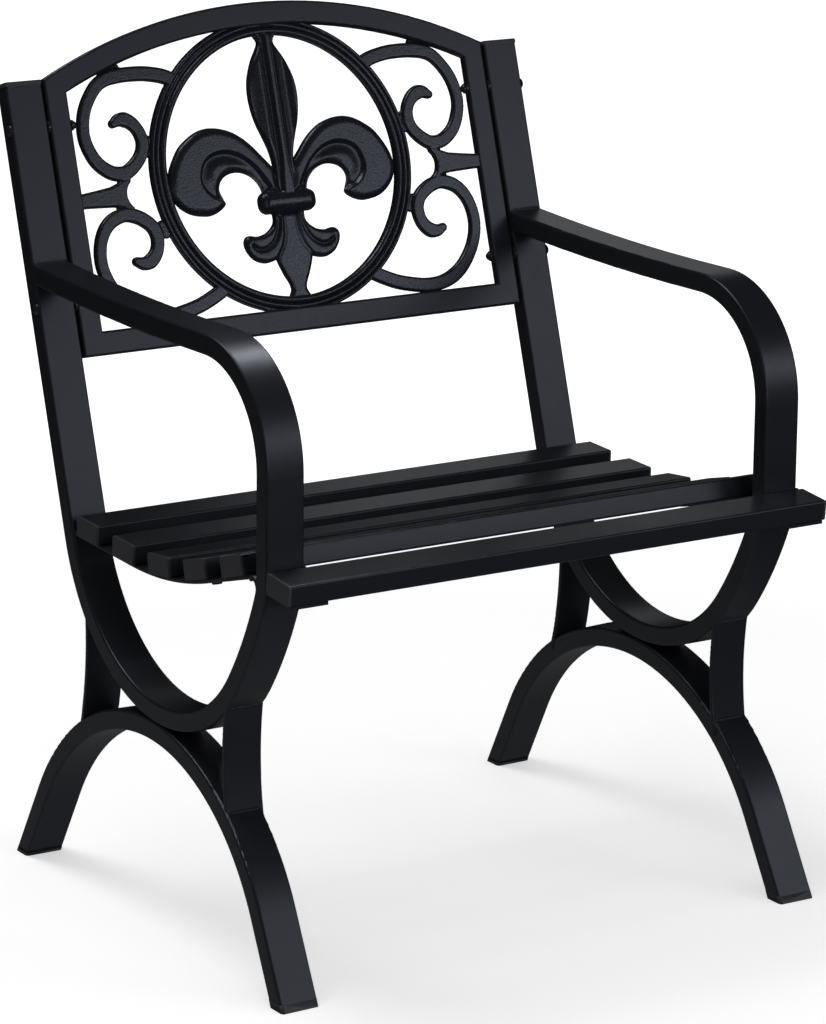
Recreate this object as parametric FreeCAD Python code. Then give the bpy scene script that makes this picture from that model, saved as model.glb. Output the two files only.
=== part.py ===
import FreeCAD, Part
import math
import os

# Garden armchair: two bent steel tube side frames, six seat slats laid across them,
# and a framed cast iron back panel bolted between the two back posts.
# Millimetres. +Z is up, the chair faces -Y, and X = 0 is its plane of symmetry.
# The origin is on the ground, under the middle of the chair's overall depth.
# Flat shapes are drawn in a plane of their own, as (across, up), then laid in place:
# a side frame's plane is (Y, Z), and the back panel's is (X, up its slope).

V = FreeCAD.Vector

# Side frame tube: wide across the chair, shallow in the plane of the frame
frame_half_width = 300.0
tube_width = 40.0
tube_depth = 20.0
tube_wall = 1.5
tube_corner = 2.5

# Side loop, one bent tube: back post, round seat hoop, front upright and arm.
# The hoop is drawn in at the front by three more bends, as (radius, turn), up to the upright.
hoop_radius = 189.0
hoop_centre_height = 410.0
hoop_forward = 24.0
back_lean = 17.5
post_top_height = 781.5
hoop_front_bends = [(155.0, 35.5), (410.0, 14.5), (60.0, 21.0)]
upright_top_height = 496.0
arm_bend_radius = 103.5
arm_bend_turn = 91.7
arm_sag_radius = 4000.0

# Leg arch: a bent tube under the hoop, with two straight splayed legs. The whole arch also leans
# out a little to its side of the chair, and is welded to the hoop along its outer edge.
arch_radius = 241.0
arch_turn = 61.0
arch_lean = 1.6
arch_weld_gap = 0.05

# Flat bar braces between the hoop and the arch
brace_thickness = 5.0
brace_corner = 1.2
front_brace_forward = 155.0
front_brace_bow = 7.0
rear_brace_top = 120.0
rear_brace_bottom = 134.0
rear_brace_bow = 6.0

# Seat rail: flat bar under the slats, bent to the dish of the seat. Its rear end and the front
# slat are set by their drop below the hoop's centre.
rail_thickness = 4.0
rail_width = 36.0
rail_rear_drop = 48.1
rail_rear_slope = 1.9
rail_rear_run = 126.0
rail_dish_radius = 450.0
rail_dish_turn = 18.4
rail_lip_radius = 9.0
rail_lip_turn = 88.0
rail_lip_drop = 3.0
rail_edge = 1.0

# Seat slats, as long as the chair is wide over its side frames
slat_width = 40.0
slat_height = 20.0
slat_wall = 1.2
slat_corner = 2.0
slats_on_rail = 5
rear_slat_distance = 34.0
slat_pitch = 71.7
front_slat_drop = 19.7
front_slat_tilt = 5.5
bracket_thickness = 3.0
bracket_leg = 22.0
bracket_corner = 1.0
end_cap_face = 3.0
end_cap_plug = 12.0

# Plastic caps on the post tops and under the legs
post_cap_face = 4.0
front_foot_face = 7.0
rear_foot_face = 3.0
foot_lip = 1.0
cap_plug = 15.0
cap_wall = 2.0
cap_clearance = 0.2
cap_corner = 1.0

# Screws that hold the slats down, driven up through the seat rails
screw_radius = 2.4
screw_head_radius = 5.0
screw_head_height = 2.6
screw_length = 14.0
screw_clearance = 0.4
screw_seat_gap = 0.1

# Back panel frame: rectangular tube, mitred at the corners
panel_side_gap = 2.5
panel_bottom_height = 521.0
panel_side_length = 277.5
panel_rise = 60.0
panel_bar_face = 24.0
panel_bar_depth = 10.0
panel_bar_wall = 1.2
panel_bar_corner = 2.5

# Bolts that hold the panel between the posts
bolt_radius = 3.0
bolt_hole_clearance = 0.3
bolt_head_radius = 5.6
bolt_head_height = 3.2
nut_radius = 5.4
nut_flange = 2.6
washer_radius = 6.5
lower_bolt_height = 53.0
upper_bolt_height = 230.0

# Cast ring: three beads round its face. It is tucked a little into the bottom and top rails.
ring_bottom_tuck = 6.0
ring_top_tuck = 7.5
ring_width = 17.5
ring_back_depth = 9.5
ring_groove_depth = 3.4
ring_beads = [6.6, 5.2, 4.2]
ring_bead_crown = 0.38

# Cast scrolls: flat bars that curl in at the end. Each starts at a point (from the side rail
# inwards, up from the spacer) and follows bends (radius, turn), all in shares of the gap
# between the ring and the side rail.
scroll_face = 11.5
scroll_depth = 7.0
scroll_corner = 1.6
scroll_back_depth = 8.5
scroll_tip_radius = 6.6
upper_scroll_start = (1.47, 1.415)
upper_scroll_heading = 17.9
upper_scroll_bends = [(1.659, -25.3), (0.651, -125.1), (0.355, -200.9), (0.176, -62.0)]
lower_scroll_start = (1.73, -1.25)
lower_scroll_heading = -28.7
lower_scroll_bends = [(1.937, 24.1), (0.737, 111.5), (0.432, 111.0), (0.288, 140.0)]

# Cast spacers between each pair of scrolls and the side of the panel. The hollow towards the
# ring is given as the scrolls are, in shares of the same gap.
spacer_drop = 16.5
spacer_bar_face = 15.0
spacer_hollow_inwards = 0.896
spacer_hollow_radius = 0.238

# Cast fleur-de-lis. Half outlines are points (across, up) from the ring's centre, and they and the
# collar's sizes are in hundredths of the ring's inner radius.
lis_back_depth = 8.0
lis_spear_thickness = 8.0
lis_petal_thickness = 7.0
lis_foot_thickness = 6.5
lis_collar_thickness = 12.0
collar_half_width = 24.2
collar_middle = -27.6
collar_height = 17.2
spear_outline = [(5.1, 95.1), (8.7, 88.8), (13.1, 81.3), (16.4, 73.5), (19.0, 65.3), (20.1, 54.9),
                 (19.3, 43.7), (16.9, 32.5), (13.5, 22.8), (10.3, 12.3), (8.4, 0.4), (8.0, -12.0),
                 (9.0, -24.0)]
petal_outline = [(7.1, -1.1), (12.3, 5.2), (17.9, 11.6), (23.1, 17.5), (29.8, 23.5), (37.6, 28.6),
                 (45.9, 31.7), (53.8, 33.2), (61.7, 32.5), (69.6, 30.1), (77.5, 25.4), (84.4, 19.0),
                 (90.3, 12.7), (95.1, 6.0), (99.8, -0.4), (101.5, -7.1), (99.9, -13.8), (93.3, -21.6),
                 (86.5, -27.8), (80.1, -30.7), (72.9, -32.5), (66.2, -32.7), (59.2, -30.5), (53.5, -26.9)]
petal_tip = (51.9, -24.3)
petal_hollow = [(53.6, -20.5), (55.7, -14.2), (54.1, -8.6), (49.7, -4.4), (43.0, -2.3), (36.3, -2.6),
                (30.2, -4.9), (25.4, -8.6), (21.8, -13.4), (19.5, -19.8)]
petal_root = (5.0, -22.0)
foot_outline = [(14.0, -35.4), (14.1, -41.8), (17.3, -46.5), (22.9, -50.2), (29.7, -51.9), (36.0, -51.6),
                (39.9, -52.0)]
foot_curl = [(41.4, -54.9), (41.5, -59.7), (39.3, -64.6), (35.4, -69.2), (29.0, -72.2), (22.9, -72.6),
             (16.0, -71.0)]
drop_outline = [(13.7, -77.0), (11.3, -83.4), (7.9, -88.4), (4.9, -93.2)]
drop_stub_half_width = 9.0

# Sizes worked out from the ones above
overlap = 1.0
lean = math.radians(back_lean)
half_tube = tube_depth / 2
frame_inner = frame_half_width - tube_width
slat_length = 2 * frame_half_width
hoop_centre = (-hoop_forward, hoop_centre_height)
arch_spacing = hoop_radius + arch_radius + tube_depth + arch_weld_gap
arch_drop = math.sqrt(arch_spacing ** 2 - hoop_forward ** 2)
arch_centre = (0.0, hoop_centre_height - arch_drop)
panel_half_width = frame_inner - panel_side_gap
panel_side = panel_half_width - panel_bar_face
panel_opening_height = panel_side_length + panel_rise - 2 * panel_bar_face
ring_outer_radius = (panel_opening_height + ring_bottom_tuck + ring_top_tuck) / 2
ring_inner_radius = ring_outer_radius - ring_width
ring_height = panel_bar_face - ring_bottom_tuck + ring_outer_radius
scroll_room = panel_side - ring_outer_radius
spacer_height = ring_height - spacer_drop


def flat_path(start, heading, pieces, side=0.0):
    """Edges of a path of straight runs and tangent arcs, shifted to its left by side.

    A piece (length, 0) is straight. A piece (radius, turn) is an arc; a positive turn is to the left.
    """
    x, y = start
    angle = math.radians(heading)
    edges = []
    for size, turn in pieces:
        left = V(-math.sin(angle), math.cos(angle), 0)
        here = V(x, y, 0)
        if turn == 0:
            there = here + V(math.cos(angle), math.sin(angle), 0) * size
            edges.append(Part.LineSegment(here + left * side, there + left * side).toShape())
        else:
            sign = math.copysign(1.0, turn)
            centre = here + left * (sign * size)
            reach = size - sign * side

            def on_arc(share):
                swung = angle + math.radians(turn) * share
                return centre + V(math.sin(swung), -math.cos(swung), 0) * (sign * reach)

            edges.append(Part.Arc(on_arc(0), on_arc(0.5), on_arc(1)).toShape())
            swung = angle + math.radians(turn)
            there = centre + V(math.sin(swung), -math.cos(swung), 0) * (sign * size)
            angle = swung
        x, y = there.x, there.y
    return edges


def path_end(start, heading, pieces):
    """Where a path ends."""
    return flat_path(start, heading, pieces)[-1].lastVertex().Point


def closed_face(edges):
    """A flat face inside edges that join end to end."""
    return Part.Face(Part.Wire(Part.__sortEdges__(edges)))


def band(start, heading, pieces, depth):
    """A flat strip of the given depth along a path, square at both ends."""
    left = flat_path(start, heading, pieces, depth / 2)
    right = flat_path(start, heading, pieces, -depth / 2)
    ends = [
        Part.LineSegment(left[0].firstVertex().Point, right[0].firstVertex().Point).toShape(),
        Part.LineSegment(left[-1].lastVertex().Point, right[-1].lastVertex().Point).toShape(),
    ]
    return closed_face(left + right + ends)


def bar_along(start, heading, pieces, depth, width, corner):
    """A bar swept along a path: depth in the path's plane, width square to it, long edges rounded."""
    bar = band(start, heading, pieces, depth).extrude(V(0, 0, width))
    first = V(start[0], start[1], 0)
    last = path_end(start, heading, pieces)
    long_edges = []
    for edge in bar.Edges:
        lows = [vertex.Z for vertex in edge.Vertexes]
        middle = edge.valueAt((edge.FirstParameter + edge.LastParameter) / 2)
        flat_middle = V(middle.x, middle.y, 0)
        at_end = min((flat_middle - first).Length, (flat_middle - last).Length) < depth / 4
        if max(lows) - min(lows) < 0.001 and not at_end:
            long_edges.append(edge)
    return bar.makeFillet(corner, long_edges)


def hollow_along(start, heading, pieces, wall):
    """The bore of a side frame tube along a path."""
    bore = bar_along(start, heading, pieces, tube_depth - 2 * wall, tube_width - 2 * wall,
                     tube_corner - wall)
    return bore.translated(V(0, 0, wall))


def block(low, high):
    """A box between two opposite corners."""
    return Part.makeBox(high[0] - low[0], high[1] - low[1], high[2] - low[2], V(*low))


def rounded_block(width, height, depth, corner):
    """A box centred on the Z axis in plan, from Z = 0 up, with its upright edges rounded."""
    box = block((-width / 2, -height / 2, 0), (width / 2, height / 2, depth))
    upright = [edge for edge in box.Edges if abs(edge.tangentAt(edge.FirstParameter).z) > 0.9]
    return box.makeFillet(corner, upright)


def along_x(radius, start, end, y, z):
    """A round bar along X."""
    return Part.makeCylinder(radius, end - start, V(start, y, z), V(1, 0, 0))


def mirrored(shape):
    """The same shape on the other side of the chair."""
    return shape.mirror(V(0, 0, 0), V(1, 0, 0))


def largest(shape):
    """The largest solid of what a cut leaves."""
    return max(shape.Solids, key=lambda solid: solid.Volume)


def in_side_frame(shape, inset=0.0):
    """Lays a shape drawn in (Y, Z) into the right side frame, its back face inset from the inner side."""
    turn = FreeCAD.Rotation(V(0, 1, 0), V(0, 0, 1), V(1, 0, 0), "ZXY")
    return shape.transformed(FreeCAD.Placement(V(frame_inner + inset, 0, 0), turn).toMatrix())


def on_back(shape):
    """Lays a shape drawn on the back panel, whose front faces lie at height 0, onto the chair."""
    foot = V(0, post_front(panel_bottom_height), panel_bottom_height)
    turn = FreeCAD.Rotation(V(1, 0, 0), 90 - back_lean)
    return shape.transformed(FreeCAD.Placement(foot, turn).toMatrix())


def post_front(height):
    """Where the sloping front face of the back post is at a height."""
    rise = height - hoop_centre_height
    return -hoop_forward + (hoop_radius - half_tube + rise * math.sin(lean)) / math.cos(lean)


# Side loop
post_axis_top = (
    post_front(post_top_height) + half_tube * math.cos(lean),
    post_top_height - half_tube * math.sin(lean),
)
hoop_rear_tangent = (
    -hoop_forward + hoop_radius * math.cos(lean),
    hoop_centre_height - hoop_radius * math.sin(lean),
)
post_length = math.dist(post_axis_top, hoop_rear_tangent)
hoop_turn = 2 * 90.0 - back_lean - sum(turn for radius, turn in hoop_front_bends)
hoop_pieces = [(hoop_radius, -hoop_turn)] + [(radius, -turn) for radius, turn in hoop_front_bends]
loop_back_heading = -90.0 - back_lean
upright_foot = path_end(hoop_rear_tangent, loop_back_heading, hoop_pieces)
upright_across = upright_foot.x
loop_back = [(post_length, 0)] + hoop_pieces + [(upright_top_height - upright_foot.y, 0)]
arm_start = (upright_across, upright_top_height)
arm_reach = post_front(upright_top_height) - upright_across + 2 * arm_bend_radius
arm_sag_turn = math.degrees(arm_reach / arm_sag_radius)
arm = [(arm_bend_radius, -arm_bend_turn), (arm_sag_radius, arm_sag_turn)]


def behind_post_front():
    """Everything behind the front face of the post, as a block in the side frame's plane."""
    reach = post_length * 2
    slab = block((0, -reach, -tube_width), (reach, reach, 2 * tube_width))
    foot = V(post_front(panel_bottom_height), panel_bottom_height, 0)
    turn = FreeCAD.Rotation(V(0, 0, 1), -back_lean)
    return slab.transformed(FreeCAD.Placement(foot, turn).toMatrix())


def side_loop_solid():
    """The side loop without its bore: post, hoop and upright, with the arm butted on the post."""
    back = bar_along(post_axis_top, loop_back_heading, loop_back, tube_depth, tube_width, tube_corner)
    front = bar_along(arm_start, 90.0, arm, tube_depth, tube_width, tube_corner)
    return back.fuse(front.cut(behind_post_front())).removeSplitter()


def side_loop_bore():
    """The bore of the side loop, open at the top of the post and closed where the arm meets it."""
    back = hollow_along(post_axis_top, loop_back_heading, loop_back, tube_wall)
    front = hollow_along(arm_start, 90.0, arm, tube_wall)
    return back.fuse(front.cut(behind_post_front()))


# Leg arch
leg_slope = math.radians(90.0 - arch_turn)
arch_end_height = arch_centre[1] + arch_radius * math.cos(math.radians(arch_turn))


def leg_length(end_height):
    """Length of the straight leg down to a little under a height, for a level cut."""
    return (arch_end_height - end_height) / math.cos(leg_slope) + tube_depth


def arch_pieces(end_height):
    """The arch from its left foot, over the top, to its right foot."""
    return [(leg_length(end_height), 0), (arch_radius, -2 * arch_turn), (leg_length(end_height), 0)]


def arch_foot(end_height):
    """Where that path starts."""
    run = leg_length(end_height)
    return (
        -arch_radius * math.sin(math.radians(arch_turn)) - run * math.sin(leg_slope),
        arch_end_height - run * math.cos(leg_slope),
    )


def arch_bar(wall=0.0):
    """The arch as a solid bar, or its bore when a wall is given, running past the level foot cuts."""
    start = arch_foot(0.0)
    pieces = arch_pieces(0.0)
    if wall:
        return hollow_along(start, arch_turn, pieces, wall)
    return bar_along(start, arch_turn, pieces, tube_depth, tube_width, tube_corner)


def leaned(shape):
    """Leans a shape drawn square in the side frame's plane as the arch leans, about its outer edge."""
    crown = arch_centre[1] + arch_radius + half_tube
    return shape.rotated(V(0, crown, tube_width - tube_corner), V(1, 0, 0), -arch_lean)


def level_slab(low, high):
    """A slab of the side frame's plane between two heights, in front of the chair's middle."""
    reach = 3 * arch_radius
    return block((-reach, low, -tube_width), (0, high, 2 * tube_width))


def leg_ends_cut(arch):
    """Cuts both legs level, where their foot caps begin."""
    front = level_slab(-3 * arch_radius, front_foot_face)
    rear = level_slab(-3 * arch_radius, rear_foot_face).mirror(V(0, 0, 0), V(1, 0, 0))
    return arch.cut(front).cut(rear)


def foot_cap(face):
    """A cap under the front leg: a lipped sole on the ground and a hollow plug up inside the tube."""
    start = arch_foot(0.0)
    run = [(leg_length(0.0), 0)]
    sole = bar_along(start, arch_turn, run, tube_depth + 2 * foot_lip, tube_width + 2 * foot_lip,
                     tube_corner + foot_lip)
    sole = leaned(sole.translated(V(0, 0, -foot_lip))).common(level_slab(0.0, face))
    fit = tube_wall + cap_clearance
    plug = hollow_along(start, arch_turn, run, fit)
    core = bar_along(start, arch_turn, run, tube_depth - 2 * (fit + cap_wall),
                     tube_width - 2 * (fit + cap_wall), tube_corner - tube_wall)
    core = core.translated(V(0, 0, fit + cap_wall))
    plug = leaned(plug.cut(core)).common(level_slab(face - overlap, face + cap_plug))
    return sole.fuse(plug).removeSplitter()


def post_cap():
    """A cap on the post: a face as large as the tube and a hollow plug down inside it."""
    face = rounded_block(tube_depth, tube_width, post_cap_face, tube_corner)
    top = [edge for edge in face.Edges if min(vertex.Z for vertex in edge.Vertexes) > post_cap_face / 2]
    face = face.makeFillet(cap_corner, top)
    fit = tube_wall + cap_clearance
    plug = rounded_block(tube_depth - 2 * fit, tube_width - 2 * fit, cap_plug + overlap,
                         tube_corner - tube_wall)
    core = rounded_block(tube_depth - 2 * (fit + cap_wall), tube_width - 2 * (fit + cap_wall),
                         cap_plug, tube_corner - tube_wall)
    cap = face.fuse(plug.cut(core).translated(V(0, 0, -cap_plug))).removeSplitter()
    turn = FreeCAD.Rotation(V(1, 0, 0), -back_lean)
    place = V(frame_inner + tube_width / 2, post_axis_top[0], post_axis_top[1])
    flat = cap.rotated(V(0, 0, 0), V(0, 0, 1), 90)
    return flat.transformed(FreeCAD.Placement(place, turn).toMatrix())


# Braces
def brace(top, bottom, bow):
    """A flat bar between two (across, up) points in the side frame's plane, bowed sideways."""
    middle = V((top[0] + bottom[0]) / 2 + bow, (top[1] + bottom[1]) / 2, 0)
    line = Part.Arc(V(top[0], top[1], 0), middle, V(bottom[0], bottom[1], 0))
    back = line.copy()
    back.translate(V(brace_thickness, 0, 0))
    back = Part.Arc(back.value(back.FirstParameter), V(middle.x + brace_thickness, middle.y, 0),
                    back.value(back.LastParameter))
    ends = [
        Part.LineSegment(V(*top, 0), V(top[0] + brace_thickness, top[1], 0)),
        Part.LineSegment(V(*bottom, 0), V(bottom[0] + brace_thickness, bottom[1], 0)),
    ]
    bar = closed_face([piece.toShape() for piece in [line, back] + ends]).extrude(V(0, 0, tube_width))
    long_edges = [
        edge for edge in bar.Edges
        if abs(edge.Vertexes[0].Z - edge.Vertexes[-1].Z) < 0.001 and edge.Length > 2 * brace_thickness
    ]
    return bar.makeFillet(brace_corner, long_edges)


def on_hoop(across):
    """Height of the hoop's centre line at a place under its middle."""
    upright_line = Part.makeLine(V(across, 0, 0), V(across, hoop_centre_height, 0))
    crossings = []
    for edge in flat_path(hoop_rear_tangent, loop_back_heading, hoop_pieces):
        gap, places, _ = edge.distToShape(upright_line)
        if gap < 0.001:
            crossings.append(places[0][0].y)
    return min(crossings)


def on_arch(across):
    """Height of the arch's centre line at a place."""
    return arch_centre[1] + math.sqrt(arch_radius ** 2 - (across - arch_centre[0]) ** 2)


# Seat rail
rail_rear_height = hoop_centre_height - rail_rear_drop
rail_start = (post_front(rail_rear_height) + half_tube, rail_rear_height - rail_thickness / 2)
rail_heading = 180.0 + rail_rear_slope
rail_front_slope = math.radians(rail_dish_turn - rail_rear_slope)
rail_dish_reach = rail_dish_radius * (math.sin(rail_front_slope) + math.sin(math.radians(rail_rear_slope)))
rail_lip_start = (
    upright_across + half_tube + rail_thickness / 2 + rail_lip_radius * (1 + math.sin(rail_front_slope))
)
rail_front_run = (
    rail_start[0] - rail_rear_run * math.cos(math.radians(rail_rear_slope)) - rail_dish_reach - rail_lip_start
) / math.cos(rail_front_slope)
rail_pieces = [
    (rail_rear_run, 0),
    (rail_dish_radius, -rail_dish_turn),
    (rail_front_run, 0),
    (rail_lip_radius, rail_lip_turn),
    (rail_lip_drop, 0),
]


def seat_line(distance):
    """A point (across, up) on the top of the seat rail, at a distance along it from its rear end."""
    left = math.radians(rail_heading)
    x, y = rail_start
    for size, turn in rail_pieces:
        length = size if turn == 0 else abs(math.radians(turn)) * size
        step = min(length, distance)
        if turn == 0:
            x += step * math.cos(left)
            y += step * math.sin(left)
        else:
            sign = math.copysign(1.0, turn)
            swing = sign * step / size
            x += sign * size * (math.sin(left + swing) - math.sin(left))
            y -= sign * size * (math.cos(left + swing) - math.cos(left))
            left += swing
        distance -= step
        if distance <= 0:
            break
    lift = rail_thickness / 2
    return (x + lift * math.sin(left), y - lift * math.cos(left))


def slat_distance(index):
    """How far along the seat rail a slat's middle lies."""
    return half_tube + rear_slat_distance + index * slat_pitch


def rail_sag(index):
    """How far the dished rail lies under the middle of the slat that bridges it."""
    middle, tilt = slat_seat(index)
    under = seat_line(slat_distance(index))
    return (middle[1] - under[1]) * math.cos(math.radians(tilt)) + (
        middle[0] - under[0]) * math.sin(math.radians(tilt))


def slat_seat(index):
    """Middle of a slat's underside (across, up) and its tilt, positive when the front is higher."""
    distance = slat_distance(index)
    reach = slat_width / 2 - slat_corner / 2
    rear = seat_line(distance - reach)
    front = seat_line(distance + reach)
    middle = ((rear[0] + front[0]) / 2, (rear[1] + front[1]) / 2)
    tilt = math.degrees(math.atan2(front[1] - rear[1], rear[0] - front[0]))
    return middle, tilt


front_slat_rear = upright_across - half_tube - bracket_thickness - cap_clearance
front_slat_middle = (
    front_slat_rear - slat_width / 2 * math.cos(math.radians(front_slat_tilt)),
    hoop_centre_height - front_slat_drop,
)
slat_places = [slat_seat(index) for index in range(slats_on_rail)]
slat_places.append((front_slat_middle, -front_slat_tilt))


def at_slat(shape, place):
    """Lays a shape drawn with the slat's underside middle at the origin, along X, into its place."""
    middle, tilt = place
    turn = FreeCAD.Rotation(V(1, 0, 0), -tilt)
    return shape.transformed(FreeCAD.Placement(V(0, middle[0], middle[1]), turn).toMatrix())


def along_slat(width, height, length, corner):
    """A rounded bar along X, from X = 0, standing on Z = 0."""
    bar = rounded_block(width, height, length, corner)
    turn = FreeCAD.Rotation(V(0, 1, 0), V(0, 0, 1), V(1, 0, 0), "ZXY")
    return bar.transformed(FreeCAD.Placement(V(0, 0, slat_height / 2), turn).toMatrix())


screw_across = frame_inner + tube_width / 2


def slat():
    """One seat slat: a rectangular tube with a screw hole in its underside at each end."""
    outer = along_slat(slat_width, slat_height, slat_length, slat_corner)
    bore = along_slat(slat_width - 2 * slat_wall, slat_height - 2 * slat_wall, slat_length,
                      slat_corner - slat_wall)
    tube = outer.cut(bore).translated(V(-slat_length / 2, 0, 0))
    for side in (-1, 1):
        hole = Part.makeCylinder(screw_radius, 3 * slat_wall, V(side * screw_across, 0, -slat_wall))
        tube = tube.cut(hole)
    return tube


def slat_cap():
    """The plastic cap in the right end of a slat."""
    face = along_slat(slat_width, slat_height, end_cap_face, slat_corner)
    rim = [edge for edge in face.Edges if min(vertex.X for vertex in edge.Vertexes) > end_cap_face / 2]
    face = face.makeFillet(cap_corner, rim)
    fit = slat_wall + cap_clearance
    plug = along_slat(slat_width - 2 * fit, slat_height - 2 * fit, end_cap_plug + overlap,
                      slat_corner - slat_wall)
    core = along_slat(slat_width - 2 * (fit + cap_wall), slat_height - 2 * (fit + cap_wall), end_cap_plug,
                      slat_corner - slat_wall)
    cap = face.fuse(plug.cut(core).translated(V(-end_cap_plug, 0, 0))).removeSplitter()
    return cap.translated(V(slat_length / 2, 0, 0))


def screw(grip):
    """A pan head screw, pointing up, with grip of bar between its head and the slat at Z = 0."""
    head = Part.makeCylinder(screw_head_radius, screw_head_height, V(0, 0, -grip - screw_head_height))
    low = [edge for edge in head.Edges if edge.BoundBox.ZMax < -grip - screw_head_height / 2]
    head = head.makeFillet(screw_head_height / 2, low)
    shank = Part.makeCylinder(screw_radius, screw_length, V(0, 0, -grip - overlap))
    return head.fuse(shank).removeSplitter()


def front_bracket():
    """A bent plate welded to the upright, which carries the front slat."""
    middle, tilt = slat_places[-1]
    drop = math.radians(-tilt)
    heel = V(upright_across - half_tube, middle[1], 0)
    run = slat_width + bracket_thickness
    toe = heel + V(-run * math.cos(drop), -run * math.sin(drop), 0)
    toe.y += math.tan(drop) * (heel.x - middle[0])
    heel.y += math.tan(drop) * (heel.x - middle[0])
    below = V(0, -bracket_thickness, 0)
    corners = [
        heel + below, toe + below, toe,
        V(heel.x - bracket_thickness, heel.y - math.tan(drop) * bracket_thickness, 0),
        V(heel.x - bracket_thickness, heel.y + bracket_leg - bracket_thickness, 0),
        V(heel.x, heel.y + bracket_leg - bracket_thickness, 0),
    ]
    plate = Part.Face(Part.makePolygon(corners + corners[:1])).extrude(V(0, 0, tube_width))
    toe_edges = [
        edge for edge in plate.Edges
        if abs(edge.tangentAt(edge.FirstParameter).z) < 0.1 and edge.BoundBox.XMax < toe.x + overlap
    ]
    return plate.makeFillet(bracket_corner, toe_edges)


# Back panel
def half_space(corner, outward_turn):
    """A large block on the panel whose edge starts at a corner, turned about it."""
    reach = 4 * panel_half_width
    slab = block((0, -reach, -reach), (reach, reach, reach))
    turn = FreeCAD.Rotation(V(0, 0, 1), outward_turn)
    return slab.transformed(FreeCAD.Placement(V(corner[0], corner[1], 0), turn).toMatrix())


top_rail_radius = (panel_half_width ** 2 + panel_rise ** 2) / (2 * panel_rise)
top_rail_centre = panel_side_length + panel_rise - top_rail_radius
top_corner_turn = math.degrees(math.asin(panel_half_width / top_rail_radius))
panel_top_corner = (panel_half_width, panel_side_length)
panel_bottom_corner = (panel_half_width, 0.0)


def panel_bar(start, heading, pieces, hollow=True):
    """A rail of the panel's frame along the middle of its face, front face at height 0."""
    bar = bar_along(start, heading, pieces, panel_bar_face, panel_bar_depth, panel_bar_corner)
    bar = bar.translated(V(0, 0, -panel_bar_depth))
    if not hollow:
        return bar
    bore = bar_along(start, heading, pieces, panel_bar_face - 2 * panel_bar_wall,
                     panel_bar_depth - 2 * panel_bar_wall, panel_bar_corner - panel_bar_wall)
    return bar.cut(bore.translated(V(0, 0, panel_bar_wall - panel_bar_depth)))


def straight_rail(start, heading, length, hollow):
    """A straight rail with a little spare at each end for its mitres."""
    spare = panel_bar_face
    angle = math.radians(heading)
    first = (start[0] - spare * math.cos(angle), start[1] - spare * math.sin(angle))
    return panel_bar(first, heading, [(length + 2 * spare, 0)], hollow)


def bottom_rail(hollow=True):
    """The bottom rail, mitred at 45 degrees at both ends."""
    rail = straight_rail((-panel_half_width, panel_bar_face / 2), 0.0, 2 * panel_half_width, hollow)
    beyond = half_space(panel_bottom_corner, 45.0)
    return rail.cut(beyond).cut(mirrored(beyond))


def side_rail(hollow=True):
    """The right side rail, mitred to the bottom rail and to the arched top rail."""
    rail = straight_rail((panel_half_width - panel_bar_face / 2, 0.0), 90.0, panel_side_length, hollow)
    below = half_space(panel_bottom_corner, 225.0)
    above = half_space(panel_top_corner, 90.0 + top_mitre)
    return rail.cut(below).cut(above)


top_mitre = (90.0 - top_corner_turn) / 2


def top_rail(hollow=True):
    """The arched top rail, mitred to both side rails."""
    radius = top_rail_radius - panel_bar_face / 2
    turn = top_corner_turn + math.degrees(panel_bar_face / radius)
    start = (
        radius * math.sin(math.radians(turn)),
        top_rail_centre + radius * math.cos(math.radians(turn)),
    )
    rail = panel_bar(start, 180.0 - turn, [(radius, 2 * turn)], hollow)
    beyond = half_space(panel_top_corner, 270.0 + top_mitre)
    return rail.cut(beyond).cut(mirrored(beyond))


def panel_opening():
    """The opening inside the four rails, as a thick block, for trimming what fills it."""
    reach = 4 * panel_bar_depth
    radius = top_rail_radius - panel_bar_face
    below = Part.makeCylinder(radius, 2 * reach, V(0, top_rail_centre, -reach))
    above = block((-panel_side, panel_bar_face, -reach), (panel_side, 2 * panel_side_length, reach))
    return below.common(above)


# Cast ring
def ring_section():
    """Half section of the ring, as (radius, height): a flat back, and beads side by side on its face."""
    back = -ring_back_depth
    groove = -ring_groove_depth
    shoulder = V(ring_inner_radius, 0, groove)
    edges = []
    share = ring_width / sum(ring_beads)
    for bead in ring_beads:
        end = shoulder + V(bead * share, 0, 0)
        crest = (shoulder + end) / 2 + V(0, 0, bead * share * ring_bead_crown)
        edges.append(Part.Arc(shoulder, crest, end).toShape())
        shoulder = end
    corners = [shoulder, V(ring_outer_radius, 0, back), V(ring_inner_radius, 0, back),
               V(ring_inner_radius, 0, groove)]
    for near, far in zip(corners, corners[1:]):
        edges.append(Part.LineSegment(near, far).toShape())
    return closed_face(edges)


def cast_ring():
    """The ring round the fleur-de-lis."""
    ring = ring_section().revolve(V(0, 0, 0), V(0, 0, 1), 360)
    return ring.translated(V(0, ring_height, 0))


def ring_round(radius):
    """A thick disc about the ring's middle, for trimming what meets the ring."""
    return Part.makeCylinder(radius, 4 * ring_back_depth, V(0, ring_height, -2 * ring_back_depth))


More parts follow.
